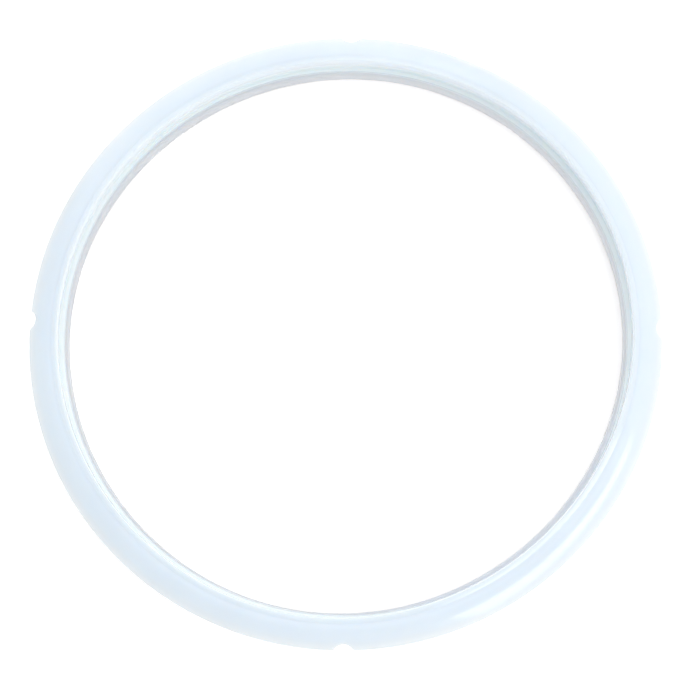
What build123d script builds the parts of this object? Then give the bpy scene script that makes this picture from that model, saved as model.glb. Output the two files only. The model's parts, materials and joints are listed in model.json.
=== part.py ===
from build123d import *
import math
import os

# Silicone sealing ring for a pressure cooker's lid. The ring lies on its flat foot, with its axis
# on Z and its origin at the centre of the foot. One section is turned about the axis: an upright
# body with an inward lip at its foot, a groove for the lid's wire rack above the lip, a half-round
# crown above the groove, and a thin flange that leaves the body beside the crown and slopes out
# and down to the rim. Half-round notches break the rim.

os.makedirs("parts", exist_ok=True)

# Overall sizes, in millimetres
bore_diameter = 212.8  # clear opening inside the lip
height = 12.8  # foot to the top of the crown

# Body
body_width = 6.0  # radial, from the lip's inside to the body's outside
foot_inner_round = 0.4
foot_outer_round = 0.9

# Lip and groove
groove_width = 5.3  # along the axis, takes the lid's wire rack
groove_depth = 1.7  # radial, from the crown's inner face to the groove's floor
groove_corner_round = 0.7
lip_round = 1.1

# Crown
crown_height = 3.4  # along the axis, above the groove
crown_width = 2.4  # radial, and the diameter of its half-round top
crown_setback = 1.8  # radial, the crown's inner face behind the lip's inside
crown_edge_round = 0.45  # lower inner edge, over the groove

# Flange
flange_reach = 7.6  # radial, past the body's outside
flange_step = 0.45  # the flange's top below the crown's, where it leaves the crown
flange_drop = 3.2  # fall of the flange's top from there to the rim
flange_root_thickness = 3.3  # where it leaves the body
flange_tip_thickness = 1.6
flange_root_round = 1.2  # under the flange, against the body
margin_width = 3.0  # radial, the straight outer band of the flange's top
margin_slope = 24.0  # degrees
rim_round = 0.5

# Rim notches
notch_count = 4
notch_depth = 2.2
notch_radius = 4.15
notch_corner_round = 1.2
outline_clearance = 0.05  # the trimming outline stands this far outside the rim

# Radii from the axis
lip_radius = bore_diameter / 2
body_radius = lip_radius + body_width
crown_inner_radius = lip_radius + crown_setback
crown_outer_radius = crown_inner_radius + crown_width
crown_middle_radius = crown_inner_radius + crown_width / 2
groove_radius = crown_inner_radius + groove_depth
wall_middle_radius = (groove_radius + body_radius) / 2
rim_radius = body_radius + flange_reach
margin_radius = rim_radius - margin_width

# Heights above the foot
groove_top = height - crown_height
lip_top = groove_top - groove_width
crown_round_start = height - crown_width / 2
flange_top = height - flange_step
flange_root_bottom = flange_top - flange_root_thickness
body_shoulder = flange_top - flange_root_thickness / 2  # ends inside the flange
tip_top = flange_top - flange_drop
tip_bottom = tip_top - flange_tip_thickness

# Fall of the margin over its width
margin_fall = math.tan(math.radians(margin_slope))

with BuildPart() as sealing_ring:
    with BuildSketch(Plane.XZ.rotated((0, 0, 180 / notch_count))) as section:
        # Body: crown, groove, lip and foot
        with BuildLine():
            crown_round = ThreePointArc(
                (crown_outer_radius, crown_round_start),
                (crown_middle_radius, height),
                (crown_inner_radius, crown_round_start),
            )
            FilletPolyline(
                crown_round @ 1,
                (crown_inner_radius, groove_top),
                (groove_radius, groove_top),
                (groove_radius, lip_top),
                (lip_radius, lip_top),
                (lip_radius, 0),
                (body_radius, 0),
                (body_radius, body_shoulder),
                (crown_outer_radius, body_shoulder),
                crown_round @ 0,
                radius=(
                    crown_edge_round,
                    groove_corner_round,
                    groove_corner_round,
                    lip_round,
                    foot_inner_round,
                    foot_outer_round,
                    0,
                    0,
                ),
            )
        make_face()

        # Flange: a curved top that runs into the straight margin, over a straight underside
        with BuildLine():
            flange_curve = TangentArc(
                (margin_radius, tip_top + margin_width * margin_fall),
                (crown_middle_radius, flange_top),
                tangent=(-1, margin_fall),
            )
            Polyline(
                flange_curve @ 1,
                (wall_middle_radius, flange_root_bottom),
                (body_radius, flange_root_bottom),
                (rim_radius, tip_bottom),
                (rim_radius, tip_top),
                flange_curve @ 0,
            )
        make_face()
        under_flange = section.vertices().sort_by_distance((body_radius, flange_root_bottom))[0]
        fillet(under_flange, radius=flange_root_round)
        fillet(section.vertices().sort_by(Axis.X)[-2:], radius=rim_round)
    revolve(axis=Axis.Z)

    # Cut the notches, with rounded corners, by trimming the ring to its outline from above
    with BuildSketch(Plane.XY) as outline:
        Circle(rim_radius + outline_clearance)
        with PolarLocations(rim_radius + notch_radius - notch_depth, notch_count):
            Circle(notch_radius, mode=Mode.SUBTRACT)
        fillet(outline.vertices(), radius=notch_corner_round)
    extrude(amount=height, mode=Mode.INTERSECT)

sealing_ring.part.label = "sealing_ring"
export_step(sealing_ring.part, "parts/sealing_ring.step")
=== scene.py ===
import json
import math

import bmesh
import bpy
from mathutils import Matrix, Vector


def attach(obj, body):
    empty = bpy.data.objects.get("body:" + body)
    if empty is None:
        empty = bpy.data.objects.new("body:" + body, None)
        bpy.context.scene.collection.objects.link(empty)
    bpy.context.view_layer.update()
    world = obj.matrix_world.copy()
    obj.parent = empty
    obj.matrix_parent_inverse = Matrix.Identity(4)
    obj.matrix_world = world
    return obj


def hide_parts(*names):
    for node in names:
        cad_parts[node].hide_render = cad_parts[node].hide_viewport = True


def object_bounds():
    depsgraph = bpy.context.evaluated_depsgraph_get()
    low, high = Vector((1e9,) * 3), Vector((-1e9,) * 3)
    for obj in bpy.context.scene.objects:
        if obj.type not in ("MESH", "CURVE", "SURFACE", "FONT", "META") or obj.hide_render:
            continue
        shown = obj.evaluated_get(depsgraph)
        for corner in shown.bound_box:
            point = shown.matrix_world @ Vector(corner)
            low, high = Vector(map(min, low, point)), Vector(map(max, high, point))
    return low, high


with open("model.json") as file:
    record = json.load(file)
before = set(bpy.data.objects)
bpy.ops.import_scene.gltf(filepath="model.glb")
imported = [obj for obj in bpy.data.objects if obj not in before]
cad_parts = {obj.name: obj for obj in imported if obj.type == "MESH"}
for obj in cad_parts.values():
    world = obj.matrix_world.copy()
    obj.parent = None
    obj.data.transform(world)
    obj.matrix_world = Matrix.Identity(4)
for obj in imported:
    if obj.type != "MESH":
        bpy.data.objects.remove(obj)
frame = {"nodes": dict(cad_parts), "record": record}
cadLow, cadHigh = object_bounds()
print("frame loaded, nodes:", sorted(frame["nodes"]))

mm = 0.001


def mountRadius(name):
    for mount in frame["record"]["mounts"]:
        if mount["name"] == name:
            return mount["dims"]["r_mm"] * mm


# sizes in metres: radial ones out from the lip's inner wall, heights up from the foot,
# drops down from the crown's top
ring = {
    "bodyWidth": 6.0 * mm,
    "footInnerRound": 0.4 * mm,
    "footOuterRound": 0.9 * mm,
    "lipTop": 4.1 * mm,
    "lipRound": 1.1 * mm,
    "grooveTop": 9.4 * mm,
    "grooveFloor": 3.5 * mm,
    "grooveRound": 0.7 * mm,
    "crownInner": 1.8 * mm,
    "crownInnerRound": 0.7 * mm,
    "crownOuter": 2.75 * mm,
    "crownOuterRound": 0.5 * mm,
    "crownEdgeRound": 0.45 * mm,
    "creaseOut": 4.1 * mm,
    "creaseDrop": 0.5 * mm,
    "creaseRound": 0.3 * mm,
    "kneeIn": 6.63 * mm,  # the flange's top bends here, in from the rim
    "kneeDrop": 0.7 * mm,
    "kneeRound": 2.8 * mm,
    "tipTop": 9.15 * mm,
    "tipBottom": 7.55 * mm,
    "tipRound": 0.5 * mm,
    "rootBottom": 9.05 * mm,
    "rootRound": 1.2 * mm,
    # the soft body never lies perfectly round: waves round the ring, as (cosine, sine)
    "flex": {
        1: (-0.16 * mm, -0.02 * mm),
        2: (-0.08 * mm, 0.4 * mm),
        3: (-0.18 * mm, -0.05 * mm),
        4: (0.19 * mm, 0.06 * mm),
    },
    "flexFrom": 110.5 * mm,  # whole inside this radius, none outside the next
    "flexTo": 117 * mm,
    "notchCount": 4,
    "notchNudge": (-0.3, -0.5, -0.4, 0.9),  # degrees off square, from +X round
    "notchDepth": 2.2 * mm,
    "notchRadius": 4.15 * mm,
    "notchCorner": 0.9 * mm,
    "notchFade": 5.0 * mm,  # how far in from the rim the surface is drawn in with a notch
    "notchEase": 1.5,  # how late it is drawn in, 1 being evenly
    "notchSector": 8.0,  # degrees of fine steps at each notch
    "notchSteps": 64,
    "plainSteps": 82,
    "rimSlack": 0.05 * mm,  # keeps the turned notches inside the rim's box
    "mergeWithin": 0.001 * mm,
}

lipRadius = mountRadius("inner_opening")
rimRadius = mountRadius("flange_rim") - ring["rimSlack"]
crownTop = cadHigh.z


def ringCorners():
    r = ring
    knee = rimRadius - r["kneeIn"]
    return [  # radius, height, rounding, steps of the rounding
        (lipRadius, 0, r["footInnerRound"], 3),
        (lipRadius + r["bodyWidth"], 0, r["footOuterRound"], 4),
        (lipRadius + r["bodyWidth"], r["rootBottom"], r["rootRound"], 5),
        (rimRadius, r["tipBottom"], r["tipRound"], 5),
        (rimRadius, r["tipTop"], r["tipRound"], 5),
        (knee, crownTop - r["kneeDrop"], r["kneeRound"], 8),
        (lipRadius + r["creaseOut"], crownTop - r["creaseDrop"], r["creaseRound"], 3),
        (lipRadius + r["crownOuter"], crownTop, r["crownOuterRound"], 5),
        (lipRadius + r["crownInner"], crownTop, r["crownInnerRound"], 8),
        (lipRadius + r["crownInner"], r["grooveTop"], r["crownEdgeRound"], 4),
        (lipRadius + r["grooveFloor"], r["grooveTop"], r["grooveRound"], 4),
        (lipRadius + r["grooveFloor"], r["lipTop"], r["grooveRound"], 4),
        (lipRadius, r["lipTop"], r["lipRound"], 6),
    ]


def drawSection(bm):
    corners = ringCorners()
    verts = [bm.verts.new((radius, 0, height)) for radius, height, rounding, steps in corners]
    bm.faces.new(verts)
    for vert, (radius, height, rounding, steps) in zip(verts, corners):
        bmesh.ops.bevel(bm, geom=[vert], offset=rounding, offset_type="OFFSET",
                        affect="VERTICES", segments=steps, profile=0.5, material=-1)
    bmesh.ops.delete(bm, geom=bm.faces[:], context="FACES_ONLY")


def spinSection(bm):
    plainSector = 360 / ring["notchCount"] - ring["notchSector"]
    start = Matrix.Rotation(math.radians(-ring["notchSector"] / 2), 3, "Z")
    bmesh.ops.rotate(bm, verts=bm.verts[:], cent=(0, 0, 0), matrix=start)
    last = bm.verts[:] + bm.edges[:]
    sectors = [(ring["notchSector"], ring["notchSteps"]), (plainSector, ring["plainSteps"])]
    for angle, steps in sectors * ring["notchCount"]:
        made = bmesh.ops.spin(bm, geom=last, cent=(0, 0, 0), axis=(0, 0, 1),
                              angle=math.radians(angle), steps=steps, use_merge=False)
        last = made["geom_last"]
    bmesh.ops.remove_doubles(bm, verts=bm.verts[:], dist=ring["mergeWithin"])


# how far in the rim's outline stands, at a distance across from a notch's middle
def notchDepthAt(across):
    centreOut = ring["notchRadius"] - ring["notchDepth"]
    corner = ring["notchCorner"]
    reach = math.sqrt((ring["notchRadius"] + corner) ** 2 - (centreOut + corner) ** 2)
    touch = reach * ring["notchRadius"] / (ring["notchRadius"] + corner)
    across = abs(across)
    if across < touch:
        return math.sqrt(ring["notchRadius"] ** 2 - across ** 2) - centreOut
    if across < reach:
        return corner - math.sqrt(corner ** 2 - (reach - across) ** 2)
    return 0


def cutNotches(bm):
    pitch = 2 * math.pi / ring["notchCount"]
    fadeStart = rimRadius - ring["notchFade"]
    topSlope = (crownTop - ring["kneeDrop"] - ring["tipTop"]) / ring["kneeIn"]
    underReach = rimRadius - lipRadius - ring["bodyWidth"]
    underSlope = (ring["rootBottom"] - ring["tipBottom"]) / underReach
    middle = (ring["tipTop"] + ring["tipBottom"]) / 2
    for vert in bm.verts:
        radius = vert.co.xy.length
        if radius < fadeStart:
            continue
        angle = math.atan2(vert.co.y, vert.co.x)
        nearest = round(angle / pitch)
        middleAt = pitch * nearest + math.radians(ring["notchNudge"][nearest % ring["notchCount"]])
        depth = notchDepthAt((angle - middleAt) * rimRadius)
        share = min(1, (radius - fadeStart) / (ring["notchFade"] - ring["tipRound"]))
        move = depth * share ** ring["notchEase"]
        slope = topSlope if vert.co.z > middle else underSlope
        vert.co.z += move * slope
        vert.co.xy *= (radius - move) / radius


def flexBody(bm):
    for vert in bm.verts:
        radius = vert.co.xy.length
        share = (ring["flexTo"] - radius) / (ring["flexTo"] - ring["flexFrom"])
        share = max(0, min(1, share))
        around = math.pi / 2 - math.atan2(vert.co.y, vert.co.x)
        shift = sum(c * math.cos(wave * around) + s * math.sin(wave * around)
                    for wave, (c, s) in ring["flex"].items())
        vert.co.xy *= (radius + shift * share) / radius


def makeRing():
    bm = bmesh.new()
    drawSection(bm)
    spinSection(bm)
    cutNotches(bm)
    flexBody(bm)
    bmesh.ops.recalc_face_normals(bm, faces=bm.faces[:])
    mesh = bpy.data.meshes.new("siliconeRing")
    bm.to_mesh(mesh)
    bm.free()
    mesh.shade_smooth()
    piece = bpy.data.objects.new("siliconeRing", mesh)
    bpy.context.scene.collection.objects.link(piece)
    return piece


silicone = {
    "roughness": 0.13,
    "roughnessSpread": 0.05,
    "refraction": 1.41,
    "gloss": 0.75,
    "seeThrough": 0.08,
    # the thin lip is clearer and more matt, inside these radii in millimetres
    "lipSeeThrough": 0.65,
    "lipRoughness": 0.42,
    "lipFrom": 107.3,
    "lipTo": 108.1,
    "scatter": 1.0,
    "scatterReach": (3.5 * mm, 4.0 * mm, 4.5 * mm),
    # colour from the lip out to the rim, by radius in millimetres; the darker last stop at 120.0
    # is painted shade along the rim's edge
    "outerColoursShadedRim": [
        (108.0, (0.76, 0.80, 0.855)),
        (110.1, (0.76, 0.80, 0.855)),
        (110.8, (0.765, 0.80, 0.86)),
        (111.8, (0.785, 0.825, 0.89)),
        (116.6, (0.785, 0.825, 0.89)),
        (117.6, (0.79, 0.82, 0.87)),
        (119.3, (0.825, 0.845, 0.875)),
        (120.0, (0.75, 0.78, 0.81)),
    ],
    # the same below the crown, where the lip and the rack groove are; darker towards the lip's
    # inner edge as painted shade under the crown, lighter across the ledge as a painted highlight
    "innerColoursLitLedgeShadedLip": [
        (106.4, (0.745, 0.81, 0.88)),
        (107.3, (0.75, 0.815, 0.895)),
        (108.1, (0.86, 0.91, 0.97)),
        (109.3, (0.88, 0.93, 0.985)),
        (109.9, (0.86, 0.905, 0.965)),
    ],
    # the crown's colours take over between these heights, and outside this radius, in millimetres
    "crownFrom": 9.0,
    "crownTo": 9.8,
    "bodyFrom": 110.5,
    # noises as (features to the metre, detail)
    "clouds": (45, 3),
    "cloudRange": (0.3, 0.7),  # the noise's own lowest and highest value
    "cloudDepth": 0.012,
    "satin": (210, 2),
    "waves": (70, 1),
    "waveHeight": 0.05 * mm,
    "grain": (1600, 2),
    "grainHeight": 0.01 * mm,
}


def addNode(tree, kind, **settings):
    node = tree.nodes.new(kind)
    for name, value in settings.items():
        setattr(node, name, value)
    return node


def noiseOn(tree, place, name):
    scale, detail = silicone[name]
    noise = addNode(tree, "ShaderNodeTexNoise")
    noise.inputs["Scale"].default_value = scale
    noise.inputs["Detail"].default_value = detail
    tree.links.new(place, noise.inputs["Vector"])
    return noise.outputs["Fac"]


def rampOver(tree, radius, colours):
    first, last = colours[0][0], colours[-1][0]
    along = addNode(tree, "ShaderNodeMapRange")
    along.inputs["From Min"].default_value = first * mm
    along.inputs["From Max"].default_value = last * mm
    tree.links.new(radius, along.inputs["Value"])
    ramp = addNode(tree, "ShaderNodeValToRGB")
    stops = ramp.color_ramp.elements
    while len(stops) < len(colours):
        stops.new(0.5)  # its place follows below
    for stop, (where, colour) in zip(stops, colours):
        stop.position = (where - first) / (last - first)
        stop.color = (*colour, 1)
    tree.links.new(along.outputs["Result"], ramp.inputs["Fac"])
    return ramp.outputs["Color"]


def siliconeMaterial():
    material = bpy.data.materials.new("clearSilicone")
    material.use_nodes = True
    tree = material.node_tree
    link = tree.links.new
    shader = tree.nodes["Principled BSDF"]
    shader.inputs["IOR"].default_value = silicone["refraction"]
    shader.inputs["Specular IOR Level"].default_value = silicone["gloss"]
    shader.inputs["Subsurface Weight"].default_value = silicone["scatter"]
    shader.inputs["Subsurface Radius"].default_value = silicone["scatterReach"]
    shader.inputs["Subsurface Scale"].default_value = 1  # the reach is in metres already

    place = addNode(tree, "ShaderNodeTexCoord").outputs["Object"]
    flat = addNode(tree, "ShaderNodeVectorMath", operation="MULTIPLY")
    flat.inputs[1].default_value = (1, 1, 0)
    link(place, flat.inputs[0])
    radius = addNode(tree, "ShaderNodeVectorMath", operation="LENGTH")
    link(flat.outputs["Vector"], radius.inputs[0])
    split = addNode(tree, "ShaderNodeSeparateXYZ")
    link(place, split.inputs["Vector"])

    # tint by zone: the lip and groove below, the crown and flange above, with painted shade on the
    # lip and at the rim's edge and a painted highlight on the ledge
    outerTintWithPaintedShade = rampOver(tree, radius.outputs["Value"], silicone["outerColoursShadedRim"])
    innerTintWithPaintedLight = rampOver(tree, radius.outputs["Value"], silicone["innerColoursLitLedgeShadedLip"])
    upper = addNode(tree, "ShaderNodeMapRange", interpolation_type="SMOOTHSTEP")
    upper.inputs["From Min"].default_value = silicone["crownFrom"] * mm
    upper.inputs["From Max"].default_value = silicone["crownTo"] * mm
    link(split.outputs["Z"], upper.inputs["Value"])
    beyond = addNode(tree, "ShaderNodeMath", operation="GREATER_THAN")
    beyond.inputs[1].default_value = silicone["bodyFrom"] * mm
    link(radius.outputs["Value"], beyond.inputs[0])
    outside = addNode(tree, "ShaderNodeMath", operation="MAXIMUM")
    link(upper.outputs["Result"], outside.inputs[0])
    link(beyond.outputs["Value"], outside.inputs[1])
    zones = addNode(tree, "ShaderNodeMix", data_type="RGBA")
    link(outside.outputs["Value"], zones.inputs["Factor"])
    link(innerTintWithPaintedLight, zones.inputs["A"])
    link(outerTintWithPaintedShade, zones.inputs["B"])

    # clearer and more matt on the lip, but not on the crown above it
    inward = addNode(tree, "ShaderNodeMapRange", interpolation_type="SMOOTHSTEP")
    inward.inputs["From Min"].default_value = silicone["lipTo"] * mm
    inward.inputs["From Max"].default_value = silicone["lipFrom"] * mm
    link(radius.outputs["Value"], inward.inputs["Value"])
    onLip = addNode(tree, "ShaderNodeMapRange")
    onLip.inputs["To Max"].default_value = 0
    link(upper.outputs["Result"], onLip.inputs["Value"])
    link(inward.outputs["Result"], onLip.inputs["To Min"])
    clear = addNode(tree, "ShaderNodeMapRange")
    clear.inputs["To Min"].default_value = silicone["seeThrough"]
    clear.inputs["To Max"].default_value = silicone["lipSeeThrough"]
    link(onLip.outputs["Result"], clear.inputs["Value"])
    link(clear.outputs["Result"], shader.inputs["Transmission Weight"])

    # soft cloudiness of the moulded silicone
    clouds = addNode(tree, "ShaderNodeMapRange")
    clouds.inputs["From Min"].default_value = silicone["cloudRange"][0]
    clouds.inputs["From Max"].default_value = silicone["cloudRange"][1]
    clouds.inputs["To Min"].default_value = 1 - silicone["cloudDepth"]
    clouds.inputs["To Max"].default_value = 1 + silicone["cloudDepth"]
    link(noiseOn(tree, place, "clouds"), clouds.inputs["Value"])
    tinted = addNode(tree, "ShaderNodeVectorMath", operation="SCALE")
    link(zones.outputs["Result"], tinted.inputs[0])
    link(clouds.outputs["Result"], tinted.inputs["Scale"])
    link(tinted.outputs["Vector"], shader.inputs["Base Color"])

    # satin variation and two depths of surface
    satin = addNode(tree, "ShaderNodeMapRange")
    satin.inputs["To Min"].default_value = silicone["roughness"] - silicone["roughnessSpread"]
    satin.inputs["To Max"].default_value = silicone["roughness"] + silicone["roughnessSpread"]
    link(noiseOn(tree, place, "satin"), satin.inputs["Value"])
    matt = addNode(tree, "ShaderNodeMix")
    matt.inputs["B"].default_value = silicone["lipRoughness"]
    link(onLip.outputs["Result"], matt.inputs["Factor"])
    link(satin.outputs["Result"], matt.inputs["A"])
    link(matt.outputs["Result"], shader.inputs["Roughness"])
    wave = addNode(tree, "ShaderNodeBump")
    wave.inputs["Distance"].default_value = silicone["waveHeight"]
    link(noiseOn(tree, place, "waves"), wave.inputs["Height"])
    grain = addNode(tree, "ShaderNodeBump")
    grain.inputs["Distance"].default_value = silicone["grainHeight"]
    link(noiseOn(tree, place, "grain"), grain.inputs["Height"])
    link(wave.outputs["Normal"], grain.inputs["Normal"])
    link(grain.outputs["Normal"], shader.inputs["Normal"])
    return material


ringPiece = makeRing()
ringPiece.data.materials.append(siliconeMaterial())
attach(ringPiece, "root")
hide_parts("sealing_ring")
print("ring made:", len(ringPiece.data.polygons), "faces")

camera = {
    "place": (0.01587, -0.12029, 0.44671),
    "tilt": 14.254,  # degrees from straight down
    "tiltTurn": 6.877,  # turn from +X of the line that it tilts about
    "roll": 0.7,
    "lens": 61.55,  # millimetres, as the sensor is
    "sensor": 36,
    "clipStart": 0.01,
}


def makeCamera():
    data = bpy.data.cameras.new("camera")
    data.lens = camera["lens"]
    data.sensor_width = camera["sensor"]
    data.clip_start = camera["clipStart"]
    piece = bpy.data.objects.new("camera", data)
    bpy.context.scene.collection.objects.link(piece)
    turn = math.radians(camera["tiltTurn"])
    tiltAxis = Vector((math.cos(turn), math.sin(turn), 0))
    lean = Matrix.Rotation(math.radians(camera["tilt"]), 4, tiltAxis)
    roll = Matrix.Rotation(math.radians(camera["roll"]), 4, "Z")
    piece.matrix_world = Matrix.Translation(camera["place"]) @ lean @ roll
    bpy.context.scene.camera = piece


makeCamera()
print("camera placed")

studio = {
    "floorSize": 60.0,
    "floorColour": (0.95, 0.95, 0.95, 1),
    "floorRoughness": 0.8,
    "floorGlow": (0.32, 0.28, 0.26, 1),
    "floorGlowStrength": 1,
    "worldStrength": 0.735,
    "worldColour": (0.91, 0.975, 1.0, 1),
    # the lights' lean from straight up and turn round the ring from +X, in degrees
    "stripLean": 45,
    "stripTurn": -34,
    "stripLong": 1.15,
    "stripWide": 0.36,
    "stripPower": 5.4,
    "fillLights": {  # lean, turn, power
        "backLight": (60, 110, 0.62),
        "sideLight": (35, 45, 0.45),
    },
    "fillSoftness": 60,
    "lightsAway": 1.5,
}


def makeFloor():
    bm = bmesh.new()
    bmesh.ops.create_grid(bm, x_segments=1, y_segments=1, size=studio["floorSize"] / 2)
    mesh = bpy.data.meshes.new("floor")
    bm.to_mesh(mesh)
    bm.free()
    piece = bpy.data.objects.new("floor", mesh)
    bpy.context.scene.collection.objects.link(piece)
    material = bpy.data.materials.new("paleFloor")
    material.use_nodes = True
    shader = material.node_tree.nodes["Principled BSDF"]
    shader.inputs["Base Color"].default_value = studio["floorColour"]
    shader.inputs["Roughness"].default_value = studio["floorRoughness"]
    shader.inputs["Emission Color"].default_value = studio["floorGlow"]
    shader.inputs["Emission Strength"].default_value = studio["floorGlowStrength"]
    mesh.materials.append(material)


makeFloor()


# leaning about X takes a light towards -Y, a quarter turn short of +X
def aim(data, lean, turn):
    light = bpy.data.objects.new(data.name, data)
    bpy.context.scene.collection.objects.link(light)
    spun = Matrix.Rotation(math.radians(turn + 90), 4, "Z")
    leaned = Matrix.Rotation(math.radians(lean), 4, "X")
    light.matrix_world = spun @ leaned @ Matrix.Translation((0, 0, studio["lightsAway"]))


def makeLights():
    world = bpy.data.worlds.new("studio")
    world.use_nodes = True
    sky = world.node_tree.nodes["Background"]
    sky.inputs["Strength"].default_value = studio["worldStrength"]
    sky.inputs["Color"].default_value = studio["worldColour"]
    bpy.context.scene.world = world
    strip = bpy.data.lights.new("stripLight", "AREA")
    strip.shape = "RECTANGLE"
    strip.size = studio["stripLong"]
    strip.size_y = studio["stripWide"]
    strip.energy = studio["stripPower"]
    aim(strip, studio["stripLean"], studio["stripTurn"])
    for name, (lean, turn, power) in studio["fillLights"].items():
        fill = bpy.data.lights.new(name, "SUN")
        fill.angle = math.radians(studio["fillSoftness"])
        fill.energy = power
        aim(fill, lean, turn)


makeLights()
bpy.context.scene.view_settings.view_transform = "Standard"
print("studio made")
